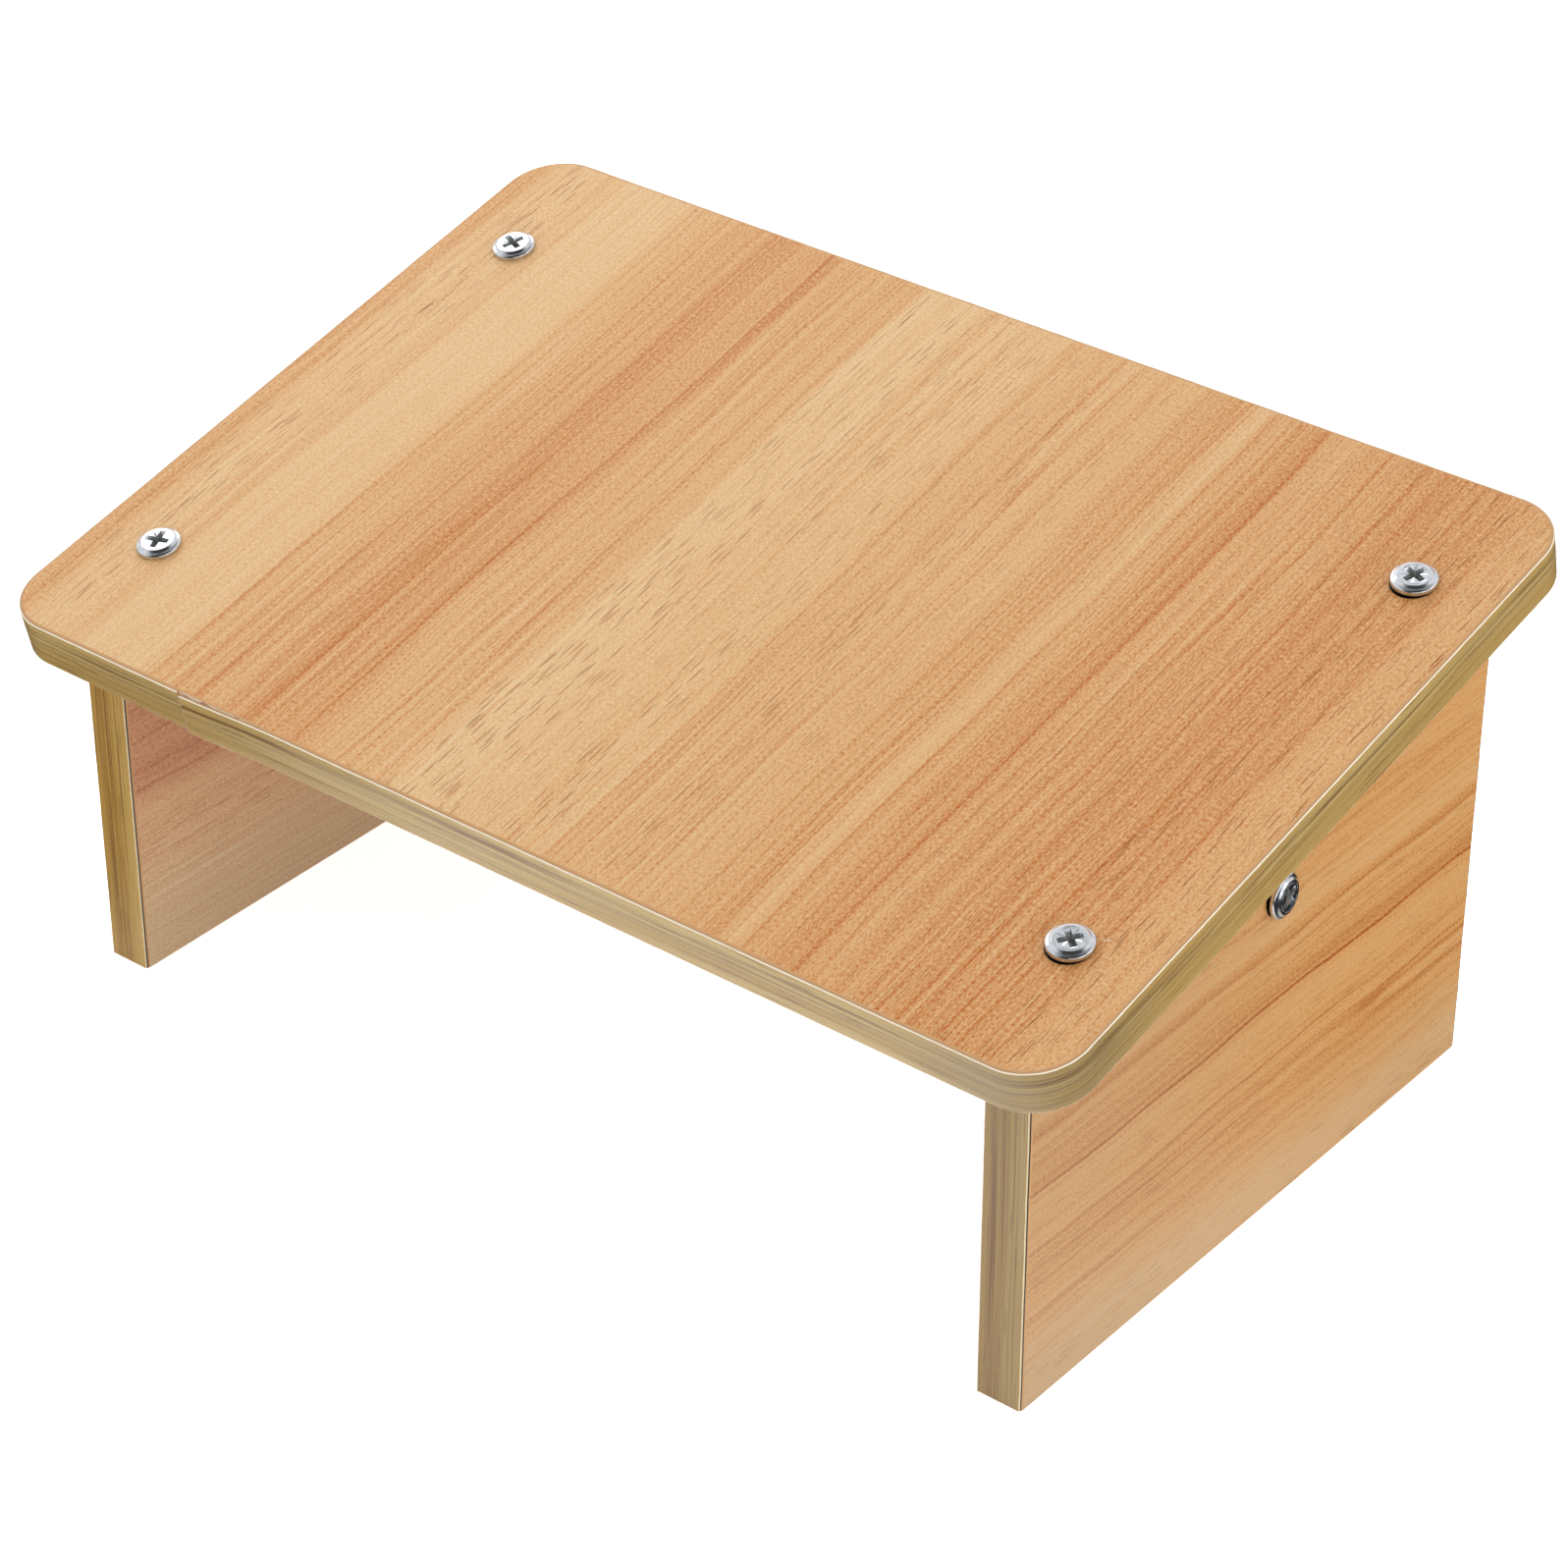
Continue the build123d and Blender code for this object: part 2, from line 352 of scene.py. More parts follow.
class FootrestScrews(bpy.types.PropertyGroup):
    """Sizes and colours of the screws."""

    head: length("Head", "Diameter of the head", 13.5)
    height: length("Head height", "From the board to the flat", 2.4)
    rim: length("Rim", "Height of the upright rim", 1.35)
    flat: length("Flat", "Diameter of the flat on top", 10.1)
    collar: length("Collar", "Diameter at the foot of the chamfer", 11.4)
    shoulder: length("Shoulder", "Height at the foot of the chamfer", 1.8)
    neck: length("Neck", "Diameter of the plain neck", 6.0)
    neck_length: length("Neck length", "From the head to the thread", 14)
    core: length("Core", "Diameter at the root of the thread", 4.6)
    crest: length("Crest", "Diameter over the thread", 6.2)
    pitch: length("Pitch", "From one turn of the thread to the next", 2.6)
    reach: length("Length", "Under the head", 50)
    point: length("Point", "Length of the point", 6)
    stand_off: length("Stand-off", "How far short of the board a right-hand screw stops", 0.7)
    lean: angle("Lean", "How far a right-hand screw leans to the back", 4)
    setback: length("Screw setback", "From the end of a panel, along the slope", 30)
    span: length("Recess span", "Over two opposite wings", 7.0)
    floor_span: length("Floor span", "The same at the bottom of the recess", 2.8)
    floor_width: length("Floor width", "Width of a wing at the bottom", 0.9)
    recess: length("Recess depth", "Down from the flat", 2.9)
    sunk: colour("Recess", "Dull plating down in the recess", 128, 129, 118)
    zinc: colour("Zinc", "Bright plated steel", 214, 218, 224)
    grime_and_shade: colour("Grime", "Darker plating in the turning marks", 150, 153, 158)


class FootrestStage(bpy.types.PropertyGroup):
    """The studio's camera, lamps and floor."""

    azimuth: angle("Azimuth", "Camera's turn to the right", 38.953)
    elevation: angle("Elevation", "Camera's height over the horizon", 32.52)
    distance: length("Distance", "From the camera to its target", 1373.594)
    target_x: length("Target right", "What the camera looks at", 6.11)
    target_y: length("Target back", "What the camera looks at", -0.944)
    target_z: length("Target height", "What the camera looks at", 80.0)
    lens: length("Lens", "Focal length", 108.305)
    room: share("Room light", "Light that comes from all round", 0.85)
    room_bright: share("Bright side", "What gloss shows of the room behind the footrest", 0.95)
    room_dim: share("Dim side", "What gloss shows of the room behind the camera", 0.05)
    room_top: share("Overhead", "Share of that which gloss shows of the room overhead", 0.5)
    key: share("Key lamp", "Power of the lamp at the back left, in watts", 7.5)
    fill: share("Fill lamp", "Power of the lamp in front, in watts", 4.0)
    side: share("Side lamp", "Power of the lamp on the right, in watts", 3.1)
    floor: colour("Floor", "Pale studio floor", 238, 238, 238)
    floor_glow: share("Floor glow", "How far the camera sees the floor as white", 0.75)
    # a painted pool of light on the floor, seen only in gloss, which glows, and painted darkness beyond it
    pool: length("Pool", "Radius of the pale pool that gloss shows on the floor", 200)
    pool_x: length("Pool right", "Middle of that pool", 50)
    pool_y: length("Pool back", "Middle of that pool", -120)
    pool_glow: share("Pool glow", "How far gloss sees that pool as white", 0.75)
    beyond: colour("Beyond the pool", "What gloss shows of the floor beyond it", 30, 30, 32)


# Node trees


class Sheet:
    """A node tree under construction."""

    def __init__(self, tree):
        self.tree = tree

    def fill(self, node, inputs):
        """Gives a node its inputs: a socket is linked, and anything else is set as a value."""
        for name, value in inputs.items():
            if isinstance(value, bpy.types.NodeSocket):
                self.tree.links.new(value, node.inputs[name])
            else:
                node.inputs[name].default_value = value

    def add(self, kind, inputs=None, **settings):
        """Adds a node with its settings and inputs."""
        node = self.tree.nodes.new(kind)
        for name, value in settings.items():
            setattr(node, name, value)
        self.fill(node, inputs or {})
        return node

    def group(self, name, inputs):
        """Places a node group, and gives its outputs."""
        return self.add("ShaderNodeGroup", inputs, node_tree=bpy.data.node_groups[name]).outputs

    def math(self, operation, *values):
        """One step of arithmetic."""
        return self.add("ShaderNodeMath", dict(enumerate(values)), operation=operation).outputs[0]

    def sway(self, total, noise, strength):
        """Adds noise to a total, counted from the noise's middle."""
        return self.math("MULTIPLY_ADD", self.math("SUBTRACT", noise, 0.5), strength, total)

    def apart(self, first, second):
        """How far two values are from each other."""
        return self.math("ABSOLUTE", self.math("SUBTRACT", first, second))

    def limit(self, value, low, high):
        """A value kept between two others."""
        return self.math("MINIMUM", self.math("MAXIMUM", value, low), high)

    def vector(self, operation, first, second):
        """One step of vector arithmetic, as its outputs, which are Vector and Value."""
        return self.add("ShaderNodeVectorMath", {0: first, 1: second}, operation=operation).outputs

    def part(self, vector, axis):
        """One part of a vector."""
        return self.add("ShaderNodeSeparateXYZ", {0: vector}).outputs[axis]

    def ease(self, value, start, end, low=0.0, high=1.0):
        """Goes smoothly from low to high while the value goes from start to end."""
        inputs = {"Value": value, "From Min": start, "From Max": end, "To Min": low, "To Max": high}
        return self.add("ShaderNodeMapRange", inputs, interpolation_type="SMOOTHSTEP").outputs[0]

    def blend(self, factor, first, second):
        """Mixes two values."""
        return self.add("ShaderNodeMix", {0: factor, 2: first, 3: second}).outputs[0]

    def mix(self, factor, first, second, beyond=False):
        """Mixes two colours. The factor may go beyond 0 and 1 where that is asked for."""
        inputs = {0: factor, 6: first, 7: second}
        return self.add("ShaderNodeMix", inputs, data_type="RGBA", clamp_factor=not beyond).outputs[2]

    def noise(self, place, across, along, detail=2.0, roughness=0.5):
        """Soft noise from 0 to 1, with so many swells to the metre across the grain and along it."""
        spread = self.vector("MULTIPLY", place, (across, along, 0))["Vector"]
        inputs = {"Vector": spread, "Scale": 1.0, "Detail": detail, "Roughness": roughness}
        return self.add("ShaderNodeTexNoise", inputs, noise_dimensions="2D").outputs[0]

    def cloud(self, place, scale, detail):
        """Soft noise from 0 to 1, alike in all directions."""
        return self.add("ShaderNodeTexNoise", {"Vector": place, "Scale": scale, "Detail": detail}).outputs[0]

    def cells(self, place, scales, **settings):
        """Irregular cells, so many to the metre in each direction: the distance from a cell's middle, and a
        value of the cell's own."""
        spread = self.vector("MULTIPLY", place, scales)["Vector"]
        cells = self.add("ShaderNodeTexVoronoi", {"Vector": spread, "Scale": 1.0}, **settings).outputs
        return cells["Distance"], self.add("ShaderNodeSeparateColor", {0: cells["Color"]}).outputs[0]

    def dashes(self, place, across, along, edge, kept):
        """Short dashes along the grain, one in each cell: a dash fades between two distances from its middle,
        its edge, and dashes come in between two of the cells' own values, those kept."""
        distance, own = self.cells(place, (across, along, 0), voronoi_dimensions="2D")
        return self.math("MULTIPLY", self.ease(distance, *edge), self.ease(own, *kept))


def opaque(display):
    """A colour property as the four values of a colour socket."""
    return (*display, 1.0)


def new_group(name, inputs, outputs):
    """A shader node group with named sockets, as a sheet, its input sockets and its output node."""
    tree = bpy.data.node_groups.new(name, "ShaderNodeTree")
    for direction, sockets in (("INPUT", inputs), ("OUTPUT", outputs)):
        for socket, kind in sockets.items():
            tree.interface.new_socket(socket, in_out=direction, socket_type="NodeSocket" + kind)
    sheet = Sheet(tree)
    return sheet, sheet.add("NodeGroupInput").outputs, sheet.add("NodeGroupOutput")


def make_wavy_grain():
    """Bends straight grain: moves each point across the board by slow noise and by quick noise."""
    sheet, given, result = new_group(
        "wavy_grain", {"Place": "Vector", "Wave": "Float", "Ripple": "Float"}, {"Place": "Vector"}
    )
    place = given["Place"]
    shift = sheet.sway(0.0, sheet.noise(place, across=9, along=5), given["Wave"])
    shift = sheet.sway(shift, sheet.noise(place, across=60, along=26), given["Ripple"])
    offset = sheet.add("ShaderNodeCombineXYZ", {0: shift}).outputs[0]
    sheet.fill(result, {"Place": sheet.vector("ADD", place, offset)["Vector"]})


def make_grain_print():
    """Wood print. Streaks, fibres and speckle sway the tone of the stripes, and thin rings lower it where
    slow noise crosses its middle. The tone picks a colour from dark through middle to pale, and pores lie on
    that."""
    sheet, given, result = new_group(
        "grain_print",
        {
            "Place": "Vector", "Tone": "Float", "Streaks": "Float", "Pores": "Float",
            "Dark": "Color", "Middle": "Color", "Pale": "Color", "Pore": "Color",
        },
        {"Color": "Color", "Height": "Float"},
    )
    place, strength = given["Place"], given["Streaks"]
    streak = sheet.noise(place, across=300, along=2.2, detail=4, roughness=0.6)
    ring = sheet.noise(place, across=58, along=1.2, detail=1)
    fibre = sheet.noise(place, across=1000, along=7, detail=3, roughness=0.7)
    speckle = sheet.noise(place, across=1700, along=850, detail=1)
    combed = sheet.ease(sheet.noise(place, across=26, along=5), 0.40, 0.62, 0.55, 1.25)
    tone = sheet.sway(given["Tone"], streak, STREAK_TONE)
    tone = sheet.math("MULTIPLY_ADD", sheet.ease(sheet.apart(ring, 0.5), 0.014, 0.002), RING_TONE, tone)
    tone = sheet.sway(tone, fibre, sheet.math("MULTIPLY", combed, strength))
    tone = sheet.sway(tone, speckle, sheet.math("MULTIPLY", strength, SPECKLE_TONE))
    lower = sheet.limit(sheet.math("MULTIPLY", tone, 2.0), PAST_DARK, 1.0)
    upper = sheet.limit(sheet.math("MULTIPLY_ADD", tone, 2.0, -1.0), 0.0, PAST_PALE)
    tint = sheet.mix(lower, given["Dark"], given["Middle"], beyond=True)
    tint = sheet.mix(upper, tint, given["Pale"], beyond=True)
    dash = sheet.dashes(place, across=1250, along=46, edge=(0.22, 0.13), kept=(0.30, 0.65))
    zone = sheet.ease(sheet.noise(place, across=90, along=4, detail=3), 0.36, 0.62, 0.25, 1.0)
    dash = sheet.math("MULTIPLY", sheet.math("MULTIPLY", dash, zone), given["Pores"])
    tint = sheet.mix(dash, tint, given["Pore"])
    sheet.fill(result, {"Color": tint, "Height": sheet.math("MULTIPLY_ADD", fibre, 0.35, speckle)})


def make_pressed_core():
    """Pressed wood core: flat chips of differing brown, some of them quite dark."""
    sheet, given, result = new_group(
        "pressed_core",
        {"Place": "Vector", "Core": "Color", "Dark": "Color"},
        {"Color": "Color", "Height": "Float"},
    )
    distance, own = sheet.cells(given["Place"], (420, 420, 900))
    tint = sheet.mix(sheet.math("MULTIPLY", own, 0.30), given["Core"], given["Dark"])
    tint = sheet.mix(sheet.ease(own, 0.82, 0.90, 0.0, 0.55), tint, given["Dark"])
    sheet.fill(result, {"Color": tint, "Height": distance})


def make_handling():
    """Handling marks: soft smudges and fine rubbing, as a value about 0 that is added to a roughness."""
    sheet, given, result = new_group("handling", {"Place": "Vector", "Amount": "Float"}, {"Value": "Float"})
    smudge = sheet.cloud(given["Place"], scale=22, detail=3)
    rubbing = sheet.cloud(given["Place"], scale=700, detail=2)
    both = sheet.math("MULTIPLY_ADD", rubbing, 0.5, smudge)
    marks = sheet.math("MULTIPLY", sheet.math("SUBTRACT", both, 0.75), given["Amount"])
    sheet.fill(result, {"Value": marks})


def new_material(name):
    """An empty node material, as a sheet with its Principled shader and the material itself."""
    material = bpy.data.materials.new(name)
    material.use_nodes = True
    material.node_tree.nodes.clear()
    sheet = Sheet(material.node_tree)
    shader = sheet.add("ShaderNodeBsdfPrincipled")
    sheet.add("ShaderNodeOutputMaterial", {"Surface": shader.outputs[0]})
    return sheet, shader, material


def bump(sheet, height, depth):
    """A normal that follows a height."""
    return sheet.add("ShaderNodeBump", {"Height": height, "Strength": 1.0, "Distance": depth}).outputs[0]


def stripe_tone(sheet, across, stripes):
    """The tone, or the share of pores, at a place in metres across the board, read from a list of stripes."""
    first, last = stripes[0][0], stripes[-1][0]
    inputs = {"Value": across, "From Min": first * MM, "From Max": last * MM}
    ramp = sheet.add("ShaderNodeValToRGB", {0: sheet.add("ShaderNodeMapRange", inputs).outputs[0]})
    ramp.color_ramp.interpolation = "EASE"
    stops = ramp.color_ramp.elements
    for place, _ in stripes[1:-1]:
        stops.new((place - first) / (last - first))
    for stop, (_, tone) in zip(stops, stripes):
        stop.color = (tone, tone, tone, 1.0)
    return ramp.outputs[0]


def thin_lines(sheet, across, tone, lines):
    """Darkens a tone along thin lines that run with the grain."""
    for place, half, depth in lines:
        away = sheet.apart(across, place * MM)
        tone = sheet.math("ADD", tone, sheet.ease(away, 0.0, half * MM, -depth, 0.0))
    return tone


def grain_colours(sheet, boards, style, place):
    """The colour and the height of a board's wood print, with painted sheen greying it low down and at the
    front.
    """
    bends = {"Wave": style.wave * MM, "Ripple": style.ripple * MM}
    bent = sheet.group("wavy_grain", {"Place": place, **bends})["Place"]
    across = sheet.part(bent, 0)
    inputs = {
        "Place": bent,
        "Tone": thin_lines(sheet, across, stripe_tone(sheet, across, style.stripes), style.lines),
        "Streaks": style.fibres,
        "Pores": stripe_tone(sheet, across, style.pores),
        "Pore": opaque(boards.pore),
    }
    for grain in ("Dark", "Middle", "Pale"):
        inputs[grain] = opaque(getattr(boards, f"{style.colours}_{grain.lower()}"))
    printed = sheet.group("grain_print", inputs)
    # painted sheen: the print is mixed towards grey low down and towards the front, standing in for the
    # floor's reflection
    low = sheet.ease(sheet.part(place, 0), SHEEN_HEIGHT, 0.0, 0.0, style.low_sheen)
    front = sheet.ease(sheet.part(place, 1), SHEEN_BACK, SHEEN_FRONT, 0.0, style.front_sheen)
    tint = sheet.mix(sheet.math("ADD", low, front), printed["Color"], opaque(boards.sheen_grey))
    return tint, printed["Height"]


def board_material(name, boards, style, axes, origin, marks=()):
    """Printed board: wood print on the two faces, a trimmed line where a face meets an edge, and pressed core
    on the cut edges. The faces are told from the edges by the direction that the surface looks. axes are the
    directions across and along the grain, and marks are the places in those directions, counted from the
    origin, the radii and the colours of small round spots."""
    sheet, shader, material = new_material(name)
    across, along = (Vector(axis) for axis in axes)
    through = across.cross(along)
    turn = Matrix((across, along, through))
    seen = sheet.add("ShaderNodeTexCoord").outputs
    move = {"Location": -(turn @ Vector(origin)), "Rotation": turn.to_euler()}
    place = sheet.add("ShaderNodeMapping", {"Vector": seen["Object"], **move}).outputs[0]
    print_tint, print_height = grain_colours(sheet, boards, style, place)
    chips = {"Place": place, "Core": opaque(boards.core), "Dark": opaque(boards.pore)}
    core = sheet.group("pressed_core", chips)

    looks = sheet.math("ABSOLUTE", sheet.vector("DOT_PRODUCT", seen["Normal"], through)["Value"])
    is_print = sheet.math("GREATER_THAN", looks, FACE_LOOKS)
    tint = sheet.mix(sheet.math("LESS_THAN", looks, EDGE_LOOKS), opaque(boards.trimmed), core["Color"])
    tint = sheet.mix(is_print, tint, print_tint)
    # spots: painted shadow rings under heads that stand off, and pale nicks of bare core
    for centre, radius, spot in marks:
        away = sheet.vector("DISTANCE", place, centre)["Value"]
        tint = sheet.mix(sheet.math("LESS_THAN", away, radius), tint, opaque(spot))
    relief = sheet.blend(is_print, sheet.math("MULTIPLY", core["Height"], 4.0), print_height)
    handled = sheet.group("handling", {"Place": place, "Amount": BOARD_HANDLING})["Value"]
    finish = {
        "Base Color": tint,
        "Roughness": sheet.math("ADD", sheet.blend(is_print, 0.82, 0.44), handled),
        "IOR": 1.5,
        "Specular IOR Level": 0.2,
        "Normal": bump(sheet, relief, BOARD_RELIEF),
    }
    sheet.fill(shader, finish)
    return material


def band_print(sheet, bands, shades, bent, fibre):
    """The colour of a band's print: two shades in broad patches, long streaks that come and go along the
    band, groups of fine dashes, and dark fibres."""
    brown = opaque(bands.brown)
    broad = sheet.noise(bent, across=130, along=4)
    tint = sheet.mix(sheet.ease(broad, 0.35, 0.65), opaque(shades[0]), opaque(shades[1]))
    presence = sheet.ease(sheet.noise(bent, across=400, along=16), 0.36, 0.56, 0.45, 1.0)
    grain = sheet.math("MULTIPLY", presence, sheet.ease(fibre, 0.40, 0.60, 1.0, 0.40))
    across = sheet.math("MULTIPLY", sheet.part(bent, 0), -1.0)
    for middle, half, strength in BAND_STREAKS:
        away = sheet.apart(across, middle * MM)
        streak = sheet.ease(away, half * MM, half * MM * 0.2, 0.0, strength)
        tint = sheet.mix(sheet.math("MULTIPLY", streak, grain), tint, brown)
    dash = sheet.dashes(bent, across=1500, along=34, edge=(0.26, 0.12), kept=(0.40, 0.80))
    zone = sheet.ease(sheet.noise(bent, across=190, along=26), 0.46, 0.62, 0.15, 0.90)
    tint = sheet.mix(sheet.math("MULTIPLY", dash, zone), tint, brown)
    return sheet.mix(sheet.ease(fibre, 0.48, 0.30, 0.0, 0.28), tint, brown)


def bare_plastic(sheet, grid, bent, level, half_face):
    """Where a band's plastic is bare: beyond a frayed line near the bevel, and where its map starts, at a
    chipped end."""
    frayed = sheet.noise(bent, across=300, along=160)
    frayed = sheet.math("MULTIPLY_ADD", frayed, FRAY, half_face - FRAY_INSIDE)
    trimmed = sheet.ease(sheet.math("SUBTRACT", level, frayed), -BARE_SOFT, BARE_SOFT)
    chipped = sheet.noise(grid, across=500, along=700, detail=3)
    chipped = sheet.math("MULTIPLY_ADD", chipped, CHIP, -CHIP_INSIDE)
    start = sheet.math("SUBTRACT", sheet.math("ABSOLUTE", sheet.part(grid, 0)), chipped)
    return sheet.math("MAXIMUM", trimmed, sheet.ease(start, CHIP_SOFT, -CHIP_SOFT))


def band_material(name, boards, bands, word, trimming, corner=None):
    """Printed plastic band, with bare pale plastic where it was trimmed. The band's own map gives the
    distance along it and across it, in metres. word says whose shades it has, and trimming is the bare
    plastic's width and colour and the colour of the glue beyond it. Where a corner is given, painted shade
    darkens the print round it."""
    sheet, shader, material = new_material(name)
    trim_width, trim, glue = trimming
    shades = getattr(bands, word + "_olive"), getattr(bands, word + "_straw")
    grid = sheet.add("ShaderNodeUVMap", uv_map="band").outputs[0]
    turned = sheet.add("ShaderNodeMapping", {"Vector": grid, "Rotation": (0, 0, pi / 2)}).outputs[0]
    bent = sheet.group("wavy_grain", {"Place": turned, "Wave": BAND_WAVE, "Ripple": BAND_RIPPLE})["Place"]
    fibre = sheet.noise(bent, across=1100, along=12, detail=4, roughness=0.62)
    tint = band_print(sheet, bands, shades, bent, fibre)
    # painted shade: the print is mixed towards a darker colour round the given corner
    if corner is not None:
        seen = sheet.add("ShaderNodeTexCoord").outputs["Object"]
        away = sheet.vector("DISTANCE", seen, corner)["Value"]
        tint = sheet.mix(sheet.ease(away, CORNER_SHADE_END, CORNER_SHADE_START, 0.0, CORNER_SHADE_SHARE), tint, opaque(bands.grime_and_shade))

    half_face = boards.thickness / 2 - bands.bevel
    across = sheet.part(grid, 1)
    level = sheet.math("MAXIMUM", across, sheet.math("MULTIPLY_ADD", across, -1.0, LOWER_SHIFT))
    bare = bare_plastic(sheet, grid, bent, level, half_face)
    tint = sheet.mix(bare, tint, opaque(trim))
    past_trim = sheet.math("SUBTRACT", level, half_face + trim_width)
    tint = sheet.mix(sheet.ease(past_trim, -GLUE_SOFT, GLUE_SOFT), tint, opaque(glue))
    handled = sheet.group("handling", {"Place": grid, "Amount": BAND_HANDLING})["Value"]
    finish = {
        "Base Color": tint,
        "Roughness": sheet.math("ADD", sheet.blend(bare, 0.28, 0.43), handled),
        "IOR": 1.6,
        "Normal": bump(sheet, fibre, BAND_RELIEF),
    }
    sheet.fill(shader, finish)
    return material


def zinc_material(screws):
    """Bright zinc plating: turning marks round the head, told by the distance from the axis in the screw's
    own map, with a little grime in them. The map's second part is the depth in the recess, where the plating
    is dull."""
    sheet, shader, material = new_material("zinc_plating")
    grid = sheet.add("ShaderNodeUVMap", uv_map="turning").outputs[0]
    seen = sheet.add("ShaderNodeTexCoord").outputs["Object"]
    rings = sheet.noise(grid, across=3600, along=2, detail=1)
    patches = sheet.ease(sheet.cloud(seen, scale=520, detail=3), 0.45, 0.75)
    dull = sheet.math("MULTIPLY", patches, sheet.ease(rings, 0.35, 0.65))
    sunk = sheet.ease(sheet.part(grid, 1), 0.1 * MM, 1.2 * MM, 0.0, 0.8)
    tint = sheet.mix(dull, opaque(screws.zinc), opaque(screws.grime_and_shade))
    rough = sheet.math("ADD", sheet.blend(dull, 0.17, 0.25), sheet.math("MULTIPLY", sunk, 0.2))
    handled = sheet.group("handling", {"Place": seen, "Amount": ZINC_HANDLING})["Value"]
    finish = {
        "Base Color": sheet.mix(sunk, tint, opaque(screws.sunk)),
        "Roughness": sheet.math("ADD", rough, handled),
        "Metallic": sheet.math("MULTIPLY_ADD", sunk, -0.75, 1.0),
        "Normal": bump(sheet, rings, ZINC_RELIEF),
    }
    sheet.fill(shader, finish)
    return material


# Places


def underside(boards):
    """The underside of the top board: its middle, and the directions right, up the slope and square to it."""
    rise, run = sin(boards.slope), cos(boards.slope)
    middle = boards.thickness * rise / 2
    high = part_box("left_side_panel")[1]
    height = high.z - (high.y - middle) * tan(boards.slope)
    right, up, square = np.eye(3)[0], np.array((0, run, rise)), np.array((0, -rise, run))
    return np.array((0, middle, height)), right, up, square


def panel_middle(boards):
    """How far the middle of a side panel's thickness is from the middle of the footrest."""
    return boards.width / 2 - boards.inset - boards.thickness / 2


def screw_row(boards, screws):
    """How far the top's screws are from the middle of the top, along the slope."""
    return boards.depth / 2 - boards.setback - screws.setback


def stretcher_middle(boards):
    """The middle of the stretcher, which its screws point to."""
    origin, _, up, square = underside(boards)
    return origin - boards.stretcher_forward * up - boards.stretcher_height / 2 * square


def top_shadows_and_nick(boards, screws):
    """Marks on the top: a painted shadow ring under each loose screw, and a short pale nick beside the front
    one.
    """
    x, row = panel_middle(boards), screw_row(boards, screws)
    marks = []
    for end in (-1, 1):
        # painted shadow under the head, which stands off the board
        ring = x - SHADE_RING_SHIFT, end * row - SHADE_RING_SHIFT, boards.thickness
        marks.append((ring, boards.shade_radius, boards.shadow))
    for step in (-NICK_STEP, 0.0, NICK_STEP):
        nick = x + NICK_RIGHT + step, NICK_BACK - row + step * NICK_SLANT, boards.thickness
        marks.append((nick, NICK_RADIUS, boards.core))
    return marks


# Meshes


def grid_quads(rows, columns):
    """Corners of the quads of a grid that closes round its columns."""
    row, column = np.meshgrid(np.arange(rows - 1), np.arange(columns), indexing="ij")
    after = (column + 1) % columns
    this, below = row * columns, (row + 1) * columns
    corners = below + column, below + after, this + after, this + column
    return np.stack(corners, axis=-1).reshape(-1, 4)


def new_piece(name, points, faces, coordinates, chart, material, slot, node, sharp):
    """Puts arrays into a mesh object that rides on the footrest and stands for a node of the frame."""
    mesh = bpy.data.meshes.new(name)
    mesh.from_pydata(points.tolist(), [], faces)
    mesh.uv_layers.new(name=chart).data.foreach_set("uv", coordinates.astype(np.float32).ravel())
    mesh.polygons.foreach_set("use_smooth", np.ones(len(mesh.polygons), bool))
    mesh.set_sharp_from_angle(angle=sharp)
    mesh.materials.append(material)
    mesh.validate()
    piece = bpy.data.objects.new(name, mesh)
    bpy.context.scene.collection.objects.link(piece)
    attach(piece, "root")
    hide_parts(node)


def eased_corner(before, corner, after, size):
    """Points that cut a corner by a quadratic curve, which starts and ends at a distance from it."""
    inward, onward = before - corner, after - corner
    inward, onward = size * inward / np.hypot(*inward), size * onward / np.hypot(*onward)
    blend = np.linspace(0, 1, ARRIS_POINTS)[:, None]
    return corner + (1 - blend) ** 2 * inward + blend**2 * onward


def band_profile(boards, bands):
    """Cross-section of a band: the printed face, then an arris eased by a quadratic curve, then the bevel.
    Gives the distance out from the board, the place across it, the print's coordinate, which goes on down the
    bevel, and how far each point follows the wandering trimming cut."""
    half = boards.thickness / 2
    face = half - bands.bevel
    inner = half - bands.bevel * bands.past / (bands.thickness + bands.past)
    foot, corner = np.array((0, inner)), np.array((bands.thickness, face))
    middle = np.array(((bands.thickness, -face / 3), (bands.thickness, face / 3)))
    upper = np.vstack((eased_corner(middle[1], corner, foot, bands.arris), foot))
    printed = np.linspace(face - bands.arris, face + bands.arris, ARRIS_POINTS)
    printed = np.append(printed, face + bands.thickness)
    section = np.vstack((upper[::-1] * (1, -1), middle, upper))
    coordinate = np.concatenate((-printed[::-1], middle[:, 1], printed))
    follows = np.concatenate((-np.ones(len(upper)), np.zeros(len(middle)), np.ones(len(upper))))
    return section[:, 0], section[:, 1], coordinate, follows


